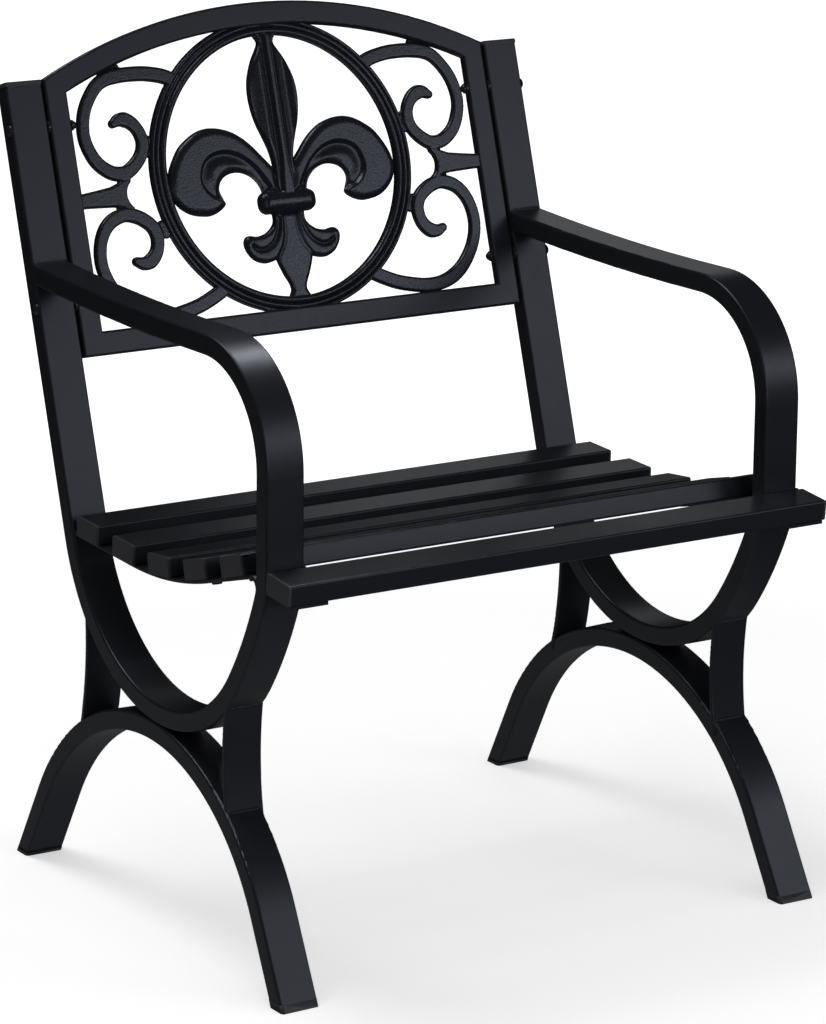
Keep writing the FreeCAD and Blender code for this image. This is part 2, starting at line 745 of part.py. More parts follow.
# Cast scrolls and spacers
def scroll(start, heading, bends):
    """The right scroll: a flat bar along its bends, with a round blob where it curls in to its end."""
    inwards, up = start
    first = (panel_side - inwards * scroll_room, spacer_height + up * scroll_room)
    arcs = [(radius * scroll_room, turn) for radius, turn in bends]
    bar = bar_along(first, heading, arcs, scroll_face, scroll_depth, scroll_corner)
    tip = path_end(first, heading, arcs)
    blob = Part.makeCylinder(scroll_tip_radius, scroll_depth, tip)
    blob = blob.makeFillet(scroll_corner, [edge for edge in blob.Edges if edge.Closed])
    whole = bar.fuse(blob).removeSplitter().translated(V(0, 0, -scroll_back_depth))
    return largest(whole.common(panel_opening()).cut(ring_round(ring_outer_radius)))


def spacer(upper, lower):
    """The web between two scrolls, hollowed towards the ring, with a bar out to the side rail."""
    radius = spacer_hollow_radius * scroll_room
    hollow_across = panel_side - spacer_hollow_inwards * scroll_room
    half = spacer_bar_face / 2
    bar = block((hollow_across + radius / 2, spacer_height - half, 0),
                (panel_half_width, spacer_height + half, scroll_depth))
    web = block((hollow_across, spacer_height - radius, 0),
                (hollow_across + 2 * radius, spacer_height + radius, scroll_depth))
    cutter_height = scroll_depth + 2 * overlap
    for side in (-1, 1):
        waist = V(hollow_across + 2 * radius + half, spacer_height + side * (radius + half), -overlap)
        web = web.cut(Part.makeCylinder(radius, cutter_height, waist))
    hollow = Part.makeCylinder(radius, cutter_height, V(hollow_across, spacer_height, -overlap))
    web = web.fuse(bar).cut(hollow).translated(V(0, 0, -scroll_back_depth))
    return largest(web.common(panel_opening()).cut([upper, lower, ring_round(ring_outer_radius)]))


# Cast fleur-de-lis
def in_ring(points):
    """Outline points in millimetres on the panel."""
    unit = ring_inner_radius / 100
    return [(across * unit, ring_height + up * unit) for across, up in points]


def outline_solid(curves, thickness):
    """A plate whose outline is smooth curves and straight lines, joined by corners."""
    edges = []
    for points in curves:
        corners = [V(across, up, 0) for across, up in points]
        if len(corners) == 2:
            edges.append(Part.makeLine(*corners))
        else:
            line = Part.BSplineCurve()
            line.interpolate(corners)
            edges.append(line.toShape())
    plate = closed_face(edges).extrude(V(0, 0, thickness))
    return plate.translated(V(0, 0, -lis_back_depth))


def flipped(points):
    """Points mirrored to the other side, in reverse order."""
    return [(-across, up) for across, up in reversed(points)]


def lis_spear():
    """The tall middle leaf, with a stub up to the ring."""
    top = ring_height + ring_outer_radius
    right = in_ring(spear_outline)
    head = right[0]
    foot = right[-1]
    stub = (head[0], top)
    left = [flipped(right), [(-head[0], head[1]), (-head[0], top)]]
    closing = [[foot, (-foot[0], foot[1])], [(-head[0], top), stub]]
    return outline_solid([[stub, head], right] + left + closing, lis_spear_thickness)


def lis_petal():
    """The right side petal, curling down and in."""
    outer = in_ring(petal_outline + [petal_tip])
    inner = in_ring([petal_tip] + petal_hollow)
    root = in_ring([petal_root])
    return outline_solid([outer, inner, inner[-1:] + root, root + outer[:1]], lis_petal_thickness)


def lis_foot():
    """The two small lower curls and the drop between them, with a stub down to the ring."""
    low = ring_height - ring_outer_radius
    curl = in_ring([foot_outline[-1]] + foot_curl)
    drop = in_ring([foot_curl[-1]] + drop_outline)
    top = in_ring(foot_outline)
    neck = (drop_stub_half_width, ring_height - ring_inner_radius)
    stub = (drop_stub_half_width, low)
    right = [top, curl, drop, [drop[-1], neck], [neck, stub]]
    left = [flipped(points) for points in reversed(right)]
    ends = [[stub, (-stub[0], stub[1])], [(-top[0][0], top[0][1]), top[0]]]
    return outline_solid(right + left + ends, lis_foot_thickness)


def lis_collar():
    """The band that ties the leaves together."""
    [(half_width, top), (_, middle)] = in_ring([(collar_half_width, collar_middle + collar_height / 2),
                                                (0.0, collar_middle)])
    height = 2 * (top - middle)
    bar = rounded_block(2 * half_width, height, lis_collar_thickness, height / 3)
    half = lis_collar_thickness / 2
    front = [edge for edge in bar.Edges if min(vertex.Z for vertex in edge.Vertexes) > half]
    bar = bar.makeFillet(height / 4, front)
    return bar.translated(V(0, middle, -lis_back_depth))


def cast_fleur_de_lis():
    """The whole motif as one casting that fits inside the ring."""
    petal = lis_petal()
    motif = lis_spear().fuse([petal, mirrored(petal), lis_foot(), lis_collar()])
    return motif.common(ring_round(ring_inner_radius)).removeSplitter()


# Bolts
def bolt_line(height):
    """Y and Z of a bolt's axis: the middle of the panel's depth at a height up its slope."""
    spot = on_back(Part.Vertex(0, height, -panel_bar_depth / 2)).Point
    return spot.y, spot.z


def dome(radius, x, y, z):
    """A low dome on the face X = x, bulging outwards."""
    ball = Part.makeSphere(radius, V(x, y, z))
    reach = 2 * radius
    return ball.common(block((x, y - reach, z - reach), (x + reach, y + reach, z + reach)))


def bolt(y, z):
    """A round headed bolt: head on the post's outer face, tip just inside its dome nut."""
    flat = bolt_head_radius / bolt_head_height
    head = dome(bolt_head_radius, 0, 0, 0)
    squash = FreeCAD.Matrix()
    squash.scale(1 / flat, 1, 1)
    head = head.transformGeometry(squash).translated(V(frame_half_width, y, z))
    tip = panel_side - nut_flange
    return head.fuse(along_x(bolt_radius, tip, frame_half_width + overlap, y, z)).removeSplitter()


def dome_nut(y, z):
    """A domed nut against the inner side of the side rail, round its bolt's tip."""
    inner = panel_side - nut_flange
    flange = along_x(nut_radius, inner, panel_side, y, z)
    cap = mirrored(dome(nut_radius - overlap, -inner, y, z))
    return flange.fuse(cap).cut(along_x(bolt_radius, inner, panel_side, y, z)).removeSplitter()


def washer(y, z):
    """A spacing washer between the post and the side rail."""
    ring = along_x(washer_radius, panel_half_width, frame_inner, y, z)
    return ring.cut(along_x(bolt_radius, panel_half_width, frame_inner, y, z))


bolt_lines = [bolt_line(lower_bolt_height), bolt_line(upper_bolt_height)]


def bolt_holes():
    """Clearance holes for the right side's bolts."""
    reach = (panel_side - panel_bar_face, frame_half_width + 2 * overlap)
    radius = bolt_radius + bolt_hole_clearance
    return [along_x(radius, reach[0], reach[1], y, z) for y, z in bolt_lines]


# The finished pieces
pieces = {}


def add_pair(name, right):
    """Keeps a piece of the right side and its mirror image on the left."""
    pieces["right_" + name] = right
    pieces["left_" + name] = mirrored(right)


loop_solid = in_side_frame(side_loop_solid())
loop_bore = in_side_frame(side_loop_bore())
arch_solid = leg_ends_cut(leaned(arch_bar()))
add_pair("side_loop", loop_solid.cut(loop_bore).cut(bolt_holes()))
add_pair("leg_arch", in_side_frame(arch_solid.cut(leaned(arch_bar(tube_wall)))))
arch_solid = in_side_frame(arch_solid)
tubes = [loop_solid, arch_solid]

front_face = -front_brace_forward
front_ends = [(front_face, on_hoop(front_face)), (front_face, on_arch(front_face))]
rear_ends = [(rear_brace_top, on_hoop(rear_brace_top)), (rear_brace_bottom, on_arch(rear_brace_bottom))]
add_pair("front_brace", in_side_frame(brace(*front_ends, front_brace_bow)).cut(tubes))
add_pair("rear_brace", in_side_frame(brace(*rear_ends, -rear_brace_bow)).cut(tubes))

rail_inset = (tube_width - rail_width) / 2
rail = bar_along(rail_start, rail_heading, rail_pieces, rail_thickness, rail_width, rail_edge)
rail = in_side_frame(rail, rail_inset).cut(loop_solid)
bracket = in_side_frame(front_bracket())
slat_grips = [rail_thickness] * slats_on_rail + [bracket_thickness]
for place, grip in zip(slat_places, slat_grips):
    hole = Part.makeCylinder(screw_radius + screw_clearance, 4 * grip, V(screw_across, 0, -3 * grip))
    rail = rail.cut(at_slat(hole, place))
    bracket = bracket.cut(at_slat(hole, place))
add_pair("seat_rail", largest(rail))
add_pair("front_slat_bracket", bracket)

for number, place in enumerate(slat_places, start=1):
    pieces[f"seat_slat_{number}"] = at_slat(slat(), place)
caps = [at_slat(slat_cap(), place) for place in slat_places]
add_pair("slat_caps", Part.makeCompound(caps))

sags = [rail_sag(index) for index in range(slats_on_rail)] + [0.0]
screws = [
    at_slat(screw(grip + sag + screw_seat_gap).translated(V(screw_across, 0, 0)), place)
    for place, grip, sag in zip(slat_places, slat_grips, sags)
]
add_pair("seat_screws", Part.makeCompound(screws))

add_pair("post_cap", post_cap())
add_pair("front_foot_cap", in_side_frame(foot_cap(front_foot_face)))
rear_foot = foot_cap(rear_foot_face).mirror(V(0, 0, 0), V(1, 0, 0))
add_pair("rear_foot_cap", in_side_frame(rear_foot))

pieces["back_bottom_rail"] = on_back(bottom_rail())
pieces["back_top_rail"] = on_back(top_rail())
add_pair("back_side_rail", on_back(side_rail()).cut(bolt_holes()))

pieces["cast_ring"] = on_back(cast_ring().common(panel_opening()))
pieces["cast_fleur_de_lis"] = on_back(cast_fleur_de_lis())
upper = scroll(upper_scroll_start, upper_scroll_heading, upper_scroll_bends)
lower = scroll(lower_scroll_start, lower_scroll_heading, lower_scroll_bends)
add_pair("upper_scroll", on_back(upper))
add_pair("lower_scroll", on_back(lower))
add_pair("scroll_spacer", on_back(spacer(upper, lower)))

add_pair("panel_bolts", Part.makeCompound([bolt(y, z) for y, z in bolt_lines]))
add_pair("panel_dome_nuts", Part.makeCompound([dome_nut(y, z) for y, z in bolt_lines]))
add_pair("panel_washers", Part.makeCompound([washer(y, z) for y, z in bolt_lines]))

# Centre the chair's depth on the origin and write each piece
outermost = ("right_front_foot_cap", "seat_slat_6", "back_top_rail")
boxes = [pieces[name].optimalBoundingBox() for name in outermost]
depth_low = min(box.YMin for box in boxes)
depth_high = max(box.YMax for box in boxes)
to_origin = V(0, -(depth_low + depth_high) / 2, 0)

os.makedirs("parts", exist_ok=True)
for name, shape in pieces.items():
    shape.translated(to_origin).exportStep(f"parts/{name}.step")
    print(name, len(shape.Solids), shape.isValid(), round(shape.Volume / 1000, 2))
print("depth", depth_low, depth_high, "moved", to_origin.y)
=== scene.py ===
import math

import bmesh
import bpy
import numpy as np
from mathutils import Matrix, Vector


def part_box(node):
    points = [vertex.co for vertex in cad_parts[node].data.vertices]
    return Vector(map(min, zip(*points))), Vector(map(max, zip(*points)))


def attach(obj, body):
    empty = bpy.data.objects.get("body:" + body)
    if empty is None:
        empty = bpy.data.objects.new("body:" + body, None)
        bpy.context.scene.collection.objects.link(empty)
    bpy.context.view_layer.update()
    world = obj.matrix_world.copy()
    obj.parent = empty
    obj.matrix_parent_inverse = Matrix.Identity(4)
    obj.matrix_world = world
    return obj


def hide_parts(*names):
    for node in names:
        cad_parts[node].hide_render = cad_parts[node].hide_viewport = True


# Garden armchair of black powder coated steel tube with a cast fleur-de-lis back.
# Metres, in the frame of the CAD model: +Z is up, the chair faces -Y, X = 0 is its middle.
# Castings, welds and post caps are drawn in millimetres, and scaled when they are finished.

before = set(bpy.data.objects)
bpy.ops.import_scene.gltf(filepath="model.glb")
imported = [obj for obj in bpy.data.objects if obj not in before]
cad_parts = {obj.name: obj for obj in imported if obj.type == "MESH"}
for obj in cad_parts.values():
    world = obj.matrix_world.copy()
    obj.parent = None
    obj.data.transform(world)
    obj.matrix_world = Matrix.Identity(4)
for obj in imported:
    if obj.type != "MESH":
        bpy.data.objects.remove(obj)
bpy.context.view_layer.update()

sides = ((-1, "left"), (1, "right"))
in_millimetres = Matrix.Scale(0.001, 4)

# Camera, worked out from the photo's perspective
photo_width = 826
photo_height = 1024
camera_yaw = -0.5677
camera_pitch = 0.2373
camera_roll = 0.0108
camera_focal_px = 4354.1
camera_centre_px = (412.95, 411.81)
camera_distance = 4.2626
camera_aim = Vector((0.0, -0.01705, 0.4763))
camera_film_width = 36.0
camera_reach = 60.0


def photo_camera():
    """A camera with the photo's viewing angle and framing."""
    forward = Vector((
        -math.sin(camera_yaw) * math.cos(camera_pitch),
        math.cos(camera_yaw) * math.cos(camera_pitch),
        -math.sin(camera_pitch),
    ))
    right = Vector((math.cos(camera_yaw), math.sin(camera_yaw), 0.0))
    level = Matrix((right, right.cross(forward), -forward)).transposed()
    data = bpy.data.cameras.new("photo_camera")
    data.sensor_width = camera_film_width
    data.lens = camera_focal_px / photo_height * data.sensor_width
    data.shift_x = (photo_width / 2 - camera_centre_px[0]) / photo_height
    data.shift_y = (camera_centre_px[1] - photo_height / 2) / photo_height
    data.clip_end = camera_reach
    camera = bpy.data.objects.new("photo_camera", data)
    camera.matrix_world = (
        Matrix.Translation(camera_aim - forward * camera_distance)
        @ (level @ Matrix.Rotation(camera_roll, 3, "Z")).to_4x4()
    )
    bpy.context.scene.collection.objects.link(camera)
    bpy.context.scene.camera = camera


photo_camera()

# The back panel's plane. On it, millimetres run across, up its slope, and out of the rails' front
# faces, from the foot, which is in metres.
panel_foot = Vector((0.0, 0.17864, 0.521))
back_lean = math.radians(17.5)
on_panel = (
    Matrix.Translation(panel_foot)
    @ Matrix.Rotation(math.radians(90.0) - back_lean, 4, "X")
    @ in_millimetres
)
panel_side = 233.5
ring_height = 169.5
ring_inner_radius = 134.0
ring_outer_radius = 151.5
ring_unit = ring_inner_radius / 100
ring_centre = np.array((0.0, ring_height))


# Materials
def linear(hex_colour):
    """An sRGB hex colour as linear red, green, blue and alpha."""
    shares = [int(hex_colour[i:i + 2], 16) / 255 for i in (0, 2, 4)]
    return [s / 12.92 if s <= 0.04045 else ((s + 0.055) / 1.055) ** 2.4 for s in shares] + [1.0]


def add_node(material, kind, links=(), **settings):
    """Adds a node, sets its inputs and properties by name, and links (input, from node, output)."""
    tree = material.node_tree
    node = tree.nodes.new(kind)
    for name, value in settings.items():
        if hasattr(node, name):
            setattr(node, name, value)
        else:
            node.inputs[name].default_value = value
    for name, source, output in links:
        tree.links.new(source.outputs[output], node.inputs[name])
    return node


def new_material(name, **settings):
    """A material with its shader's own sockets set."""
    material = bpy.data.materials.new(name)
    material.use_nodes = True
    shader = material.node_tree.nodes["Principled BSDF"]
    for socket, value in settings.items():
        shader.inputs[socket].default_value = value
    return material, shader


def roughened(material, shader, size, depth, roughness, spread, detail=2.0):
    """Grain of a size in metres: a bump of the given depth, and a roughness that varies by spread."""
    place = add_node(material, "ShaderNodeTexCoord")
    grain = add_node(material, "ShaderNodeTexNoise", [("Vector", place, "Object")],
                     Scale=1 / size, Detail=detail)
    bump = add_node(material, "ShaderNodeBump", [("Height", grain, "Fac")], Distance=depth, Strength=1.0)
    material.node_tree.links.new(bump.outputs["Normal"], shader.inputs["Normal"])
    gloss = add_node(material, "ShaderNodeMapRange", [("Value", grain, "Fac")],
                     **{"To Min": roughness - spread, "To Max": roughness + spread})
    material.node_tree.links.new(gloss.outputs["Result"], shader.inputs["Roughness"])


# Paint and plastic bend light alike. The black coat has a cool sheen, on the tubes and the casting.
surface_ior = 1.5
coat_sheen = "e2ebff"


def satin_powder_coat():
    """Satin black polyester powder coat on steel tube: a soft broad sheen with a faint orange peel."""
    material, shader = new_material("satin_powder_coated_steel", **{
        "Base Color": linear("1e1f23"), "IOR": surface_ior, "Specular Tint": linear(coat_sheen),
    })
    roughened(material, shader, size=0.004, depth=0.00002, roughness=0.36, spread=0.05)
    return material


def coated_casting():
    """Powder coated sand casting: the coat follows the grain of the sand, so it sparkles unevenly."""
    material, shader = new_material("powder_coated_casting", **{
        "Base Color": linear("1d1f24"), "IOR": surface_ior, "Specular Tint": linear(coat_sheen),
    })
    roughened(material, shader, size=0.0018, depth=0.00026, roughness=0.25, spread=0.10, detail=3.0)
    return material


def moulded_plastic():
    """Moulded black polyethylene caps: a little greyer and duller than the coated steel."""
    material, shader = new_material("moulded_plastic", **{
        "Base Color": linear("35363a"), "IOR": surface_ior,
    })
    roughened(material, shader, size=0.0012, depth=0.00003, roughness=0.5, spread=0.05)
    return material


def black_zinc():
    """Black plated bolts, nuts and screws: glossier than the coat."""
    material, shader = new_material("black_plated_fasteners", **{
        "Base Color": linear("202124"), "IOR": surface_ior,
    })
    roughened(material, shader, size=0.002, depth=0.00002, roughness=0.3, spread=0.06)
    return material


coat = satin_powder_coat()
casting = coated_casting()
plastic = moulded_plastic()
fastener = black_zinc()

# The finish of a part by its name, or by the last word of its name. All others have the coat.
finishes = {
    "cap": plastic, "caps": plastic, "bolts": fastener, "nuts": fastener, "washers": fastener,
    "screws": fastener, "cast_ring": casting, "cast_fleur_de_lis": casting,
}
for name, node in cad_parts.items():
    finish = finishes.get(name, finishes.get(name.split("_")[-1], coat))
    node.data.materials.clear()
    node.data.materials.append(finish)


# Pieces
def finished(name, bm, material, replaced=(), smooth_angle=40.0, place=None):
    """Turns a mesh into a piece of the chair that stands for the parts it replaces."""
    if place is not None:
        bmesh.ops.transform(bm, matrix=place, verts=bm.verts)
    bmesh.ops.recalc_face_normals(bm, faces=bm.faces)
    mesh = bpy.data.meshes.new(name)
    bm.to_mesh(mesh)
    bm.free()
    mesh.polygons.foreach_set("use_smooth", [True] * len(mesh.polygons))
    mesh.set_sharp_from_angle(angle=math.radians(smooth_angle))
    piece = bpy.data.objects.new(name, mesh)
    piece.data.materials.append(material)
    bpy.context.scene.collection.objects.link(piece)
    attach(piece, "root")
    if replaced:
        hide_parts(*replaced)


def verts_in(geometry):
    """The vertices in what was made."""
    return [item for item in geometry if isinstance(item, bmesh.types.BMVert)]


# Flat outlines and distances, in millimetres on the panel
def smooth_line(points, steps=6):
    """A smooth line through points, with a few steps between each two."""
    points = np.array(points, float)
    ends = np.vstack([2 * points[0] - points[1], points, 2 * points[-1] - points[-2]])
    line = []
    for before, near, far, after in zip(ends, ends[1:], ends[2:], ends[3:]):
        for step in range(steps):
            t = step / steps
            line.append(0.5 * (
                2 * near + (far - before) * t + (2 * before - 5 * near + 4 * far - after) * t ** 2
                + (3 * near - before - 3 * far + after) * t ** 3
            ))
    return np.array(line + [points[-1]])


def to_line(spots, line):
    """How far each spot is from a line, and how far along it the nearest place is, as a share."""
    gaps = np.full(len(spots), np.inf)
    places = np.zeros(len(spots))
    run = 0.0
    for near, far in zip(line, line[1:]):
        step = far - near
        length = np.linalg.norm(step)
        if length == 0.0:
            continue
        share = np.clip((spots - near) @ step / length ** 2, 0.0, 1.0)
        gap = np.linalg.norm(spots - near - share[:, None] * step, axis=1)
        closer = gap < gaps
        gaps[closer] = gap[closer]
        places[closer] = run + share[closer] * length
        run += length
    return gaps, places / run


def inside(spots, outline):
    """How far inside a closed outline each spot is, negative outside it."""
    closed = np.vstack([outline, outline[:1]])
    gaps, _ = to_line(spots, closed)
    crossings = np.zeros(len(spots), int)
    for near, far in zip(closed, closed[1:]):
        if near[1] == far[1]:
            continue
        straddles = (near[1] > spots[:, 1]) != (far[1] > spots[:, 1])
        crossing = near[0] + (spots[:, 1] - near[1]) * (far[0] - near[0]) / (far[1] - near[1])
        crossings += straddles & (spots[:, 0] < crossing)
    return np.where(crossings % 2 == 1, gaps, -gaps)


def joined(first, second, fillet):
    """Two distances or heights run together, with a fillet where they meet."""
    share = np.clip(0.5 + 0.5 * (first - second) / fillet, 0.0, 1.0)
    return second + (first - second) * share + fillet * share * (1 - share)


def eased(distance, width):
    """0 at a line, rising smoothly to 1 over a width."""
    share = np.clip(distance / width, 0.0, 1.0)
    return share * share * (3 - 2 * share)


def ridge(distance, rise, place, width):
    """A rounded ridge with its top at a place, fading to 0 a little over a width away."""
    return rise * np.exp(-((distance - place) / width) ** 2)


def rolled(depth, radius, wall, top):
    """Height of a plate whose edge stands up by wall and rolls over to top within radius."""
    share = 1 - np.clip(depth / radius, 0.0, 1.0)
    return wall + (top - wall) * np.sqrt(1 - share ** 2)


# Castings: a grid is trimmed to an outline, its rim is drawn onto the outline, the rows beside the
# rim are evened out, and the whole is lifted to its relief and closed behind.
trim_share = 0.45
slope_step = 0.05
least_slope = 0.3
rim_passes = 4
rim_rows = 3
evening_passes = 6
cast_draft = 1.2
cast_overlap = 1.5


def spots_of(verts):
    """Where vertices are on the panel."""
    return np.array([vert.co[:2] for vert in verts])


def depths_and_slopes(places, depth_at):
    """How far inside an outline places are, and how fast that grows across and up."""
    depths = depth_at(places)
    ahead = [depth_at(places + step) - depths for step in ((slope_step, 0.0), (0.0, slope_step))]
    return depths, np.stack(ahead, axis=1) / slope_step


def trimmed_grid(low, high, cell, depth_at):
    """A grid of square cells from low to high, without the cells outside an outline."""
    size = [far - near for near, far in zip(low, high)]
    bm = bmesh.new()
    bmesh.ops.create_grid(bm, x_segments=round(size[0] / cell), y_segments=round(size[1] / cell), size=0.5)
    middle = Vector(((low[0] + high[0]) / 2, (low[1] + high[1]) / 2, 0.0))
    to_size = Matrix.Translation(middle) @ Matrix.Diagonal((size[0], size[1], 1.0, 1.0))
    bmesh.ops.transform(bm, matrix=to_size, verts=bm.verts)
    depths = depth_at(spots_of(bm.verts))
    outside = [vert for vert, depth in zip(bm.verts, depths) if depth < -trim_share * cell]
    bmesh.ops.delete(bm, geom=outside, context="VERTS")
    loose = [vert for vert in bm.verts if not vert.link_faces]
    bmesh.ops.delete(bm, geom=loose, context="VERTS")
    return bm


def draw_to_outline(bm, rim, cell, depth_at):
    """Moves the rim onto the outline, and evens out the rows beside it."""
    for _ in range(rim_passes):
        depths, slopes = depths_and_slopes(spots_of(rim), depth_at)
        steepness = np.maximum(np.sum(slopes ** 2, axis=1), least_slope)
        moves = -depths[:, None] * slopes / steepness[:, None]
        for vert, move in zip(rim, np.clip(moves, -cell, cell)):
            vert.co.x += move[0]
            vert.co.y += move[1]
    near_rim = set(rim)
    for _ in range(rim_rows):
        near_rim |= {edge.other_vert(vert) for vert in near_rim for edge in vert.link_edges}
    beside = [vert for vert in near_rim if not vert.is_boundary]
    for _ in range(evening_passes):
        bmesh.ops.smooth_vert(bm, verts=beside, factor=0.5, use_axis_x=True, use_axis_y=True)


def close_behind(bm, rim, back, depth_at):
    """Takes the rim straight back, draws the wall's last part in as a mould leaves it, and closes it."""
    _, slopes = depths_and_slopes(spots_of(rim), depth_at)
    inwards = {tuple(vert.co[:2]): slope for vert, slope in zip(rim, slopes)}
    for level, inset in ((back + cast_draft, 0.0), (back, cast_draft)):
        edges = [edge for edge in bm.edges if edge.is_boundary]
        for vert in verts_in(bmesh.ops.extrude_edge_only(bm, edges=edges)["geom"]):
            slope = inwards[tuple(vert.co[:2])]
            vert.co.x += slope[0] * inset
            vert.co.y += slope[1] * inset
            vert.co.z = level
    open_edges = [edge for edge in bm.edges if edge.is_boundary]
    bmesh.ops.triangle_fill(bm, edges=open_edges, use_beauty=True)


def cast_plate(name, low, high, cell, depth_at, height_at, back, replaced):
    """A casting with a flat back, from functions for its outline and its relief."""
    bm = trimmed_grid(low, high, cell, depth_at)
    rim = [vert for vert in bm.verts if vert.is_boundary]
    draw_to_outline(bm, rim, cell, depth_at)
    for vert, height in zip(bm.verts, height_at(spots_of(bm.verts))):
        vert.co.z = back + height
    close_behind(bm, rim, back, depth_at)
    finished(name, bm, casting, replaced, smooth_angle=62.0, place=on_panel)


# Scrollwork: flat bars with rolled edges, for the right side. Each bar is a line down its middle,
# shares of its length, and its half widths there.
upper_scroll = smooth_line([
    (108, 264), (122, 270.5), (140.5, 274.5), (156.5, 275.5), (172, 275), (186.5, 272.5), (197.3, 267.3),
    (207, 256.8), (214.8, 244), (219, 230.5), (220, 217), (217.2, 204.5), (211, 192), (202.5, 183.5),
    (192, 178), (180, 177.6), (169.5, 183.6), (160.5, 193), (156.3, 204), (157.5, 214.5), (162.5, 223.5),
    (170, 229.5), (178, 231), (186, 227.5),
])
upper_scroll_half_widths = ([0.0, 0.24, 0.35, 0.5, 0.6, 0.7, 0.8, 0.9, 0.955, 0.98, 1.0],
                            [7.3, 7.2, 6.4, 6.3, 6.7, 7.2, 6.5, 6.4, 7.4, 6.0, 4.2])
lower_scroll = smooth_line([
    (80, 56), (92, 48.8), (105, 42.5), (118, 37.5), (132, 34), (146, 31.5), (158, 31), (171.2, 32.5),
    (184.4, 37.3), (197, 46), (207.5, 58), (214.8, 70.5), (219, 83), (220, 96), (217.5, 110), (211.5, 122),
    (203.5, 130), (194, 134.5), (184.5, 136), (174, 133.4), (165, 128.5), (157.5, 121.5), (153.8, 112),
    (154.5, 102), (158.5, 93.5), (165.5, 87.3), (173, 86), (180.5, 88.5),
])
lower_scroll_half_widths = ([0.0, 0.34, 0.45, 0.6, 0.7, 0.8, 0.9, 0.955, 0.98, 1.0],
                            [7.2, 7.2, 6.4, 6.3, 7.0, 7.0, 6.6, 7.4, 6.2, 4.4])
lower_scroll_shift = -1.7
scroll_low = (70.0, 22.0)
scroll_high = (236.0, 290.0)
scroll_cell = 1.0
scroll_back = -8.5
scroll_thickness = 7.0
scroll_wall = 4.6
scroll_roll = 2.2
scroll_fillet = 2.0
bar_allowance = 0.3

# Spacer between the scrolls and the frame: its top and bottom edges, and the round hollow beside it
spacer_across =[178.0, 184.0, 190.0, 199.0, 217.0, 234.0]
spacer_top = [173.0, 171.5, 168.5, 165.3, 162.8, 160.8]
spacer_bottom = [140.0, 142.0, 143.4, 144.6, 145.4, 146.0]
spacer_hollow = np.array((165.5, 155.5))
spacer_hollow_radius = 16.5
spacer_inner_end = 176.0

# Webs where a scroll touches the frame or the ring: a line, and the half width
scroll_webs = [
    ([(173, 283.5), (191, 278.5)], 3.6),
    ([(149.5, 209.0), (151.5, 194.5)], 4.0),
    ([(148.0, 122.0), (144.0, 113.0)], 5.0),
]
web_height = 4.2
web_wall = 3.0
web_roll = 2.0
web_fillet = 1.5
ring_overlap = 2.0


def scrollwork(side, hand):
    """Both scrolls of one side, with the spacer between them and the small webs that tie them in."""
    def bars_at(spots):
        upright = spots * (side, 1.0)
        shifted = upright - (side * lower_scroll_shift, 0.0)
        depths = []
        for line, half_widths, places in (
            (upper_scroll, upper_scroll_half_widths, upright),
            (lower_scroll, lower_scroll_half_widths, shifted),
        ):
            gaps, shares = to_line(places, line)
            depths.append(np.interp(shares, *half_widths) + bar_allowance - gaps)
        across, up = upright.T
        spacer = np.minimum(np.interp(across, spacer_across, spacer_top) - up,
                            up - np.interp(across, spacer_across, spacer_bottom))
        hollow = np.linalg.norm(upright - spacer_hollow, axis=1) - spacer_hollow_radius
        depths.append(np.minimum(np.minimum(spacer, hollow), across - spacer_inner_end))
        return depths

    def webs_at(spots):
        upright = spots * (side, 1.0)
        depths = [half - to_line(upright, np.array(line, float))[0] for line, half in scroll_webs]
        return np.max(depths, axis=0)

    def depth_at(spots):
        upper, lower, spacer = bars_at(spots)
        whole = joined(joined(upper, spacer, scroll_fillet), lower, scroll_fillet)
        whole = joined(whole, webs_at(spots), web_fillet)
        clear_of_ring = np.linalg.norm(spots - ring_centre, axis=1) - ring_outer_radius + ring_overlap
        in_frame = panel_side + cast_overlap - abs(spots[:, 0])
        return np.minimum(np.minimum(whole, clear_of_ring), in_frame)

    def height_at(spots):
        depths = bars_at(spots)
        bars = np.max([rolled(depth, scroll_roll, scroll_wall, scroll_thickness) for depth in depths], axis=0)
        bars = np.where(np.max(depths, axis=0) < -bar_allowance, 0.0, bars)
        return np.maximum(bars, rolled(webs_at(spots), web_roll, web_wall, web_height))

    left_end, right_end = sorted((side * scroll_low[0], side * scroll_high[0]))
    cast_plate(f"{hand}_cast_scrollwork", (left_end, scroll_low[1]), (right_end, scroll_high[1]),
               scroll_cell, depth_at, height_at, scroll_back,
               [f"{hand}_upper_scroll", f"{hand}_lower_scroll", f"{hand}_scroll_spacer"])


for side, hand in sides:
    scrollwork(side, hand)

# Fleur-de-lis: half outlines in hundredths of the ring's inner radius from its centre
spear_edge =[(12.0, 103.0), (8.4, 97.5), (7.0, 94.0), (9.6, 88.8), (14.3, 81.3), (17.8, 73.5), (20.4, 65.3),
              (21.5, 54.9), (20.7, 43.7), (18.2, 32.5), (14.6, 22.8), (11.0, 12.3), (9.0, 0.4), (8.4, -12.0),
              (9.0, -24.0)]
petal_top = [(7.1, -1.1), (12.3, 5.2), (17.9, 11.6), (23.1, 17.5), (29.8, 23.5), (37.6, 28.6),
             (45.9, 31.7), (53.8, 33.2), (61.7, 33.2), (69.6, 31.2), (77.5, 27.0), (85.5, 21.0),
             (90.9, 14.0), (95.2, 6.8), (98.4, -1.0), (99.4, -9.0), (97.4, -17.0), (92.6, -23.8),
             (86.3, -28.6), (80.1, -31.2), (72.9, -32.5), (66.2, -32.7), (59.2, -30.5), (53.5, -26.9),
             (51.9, -24.3)]
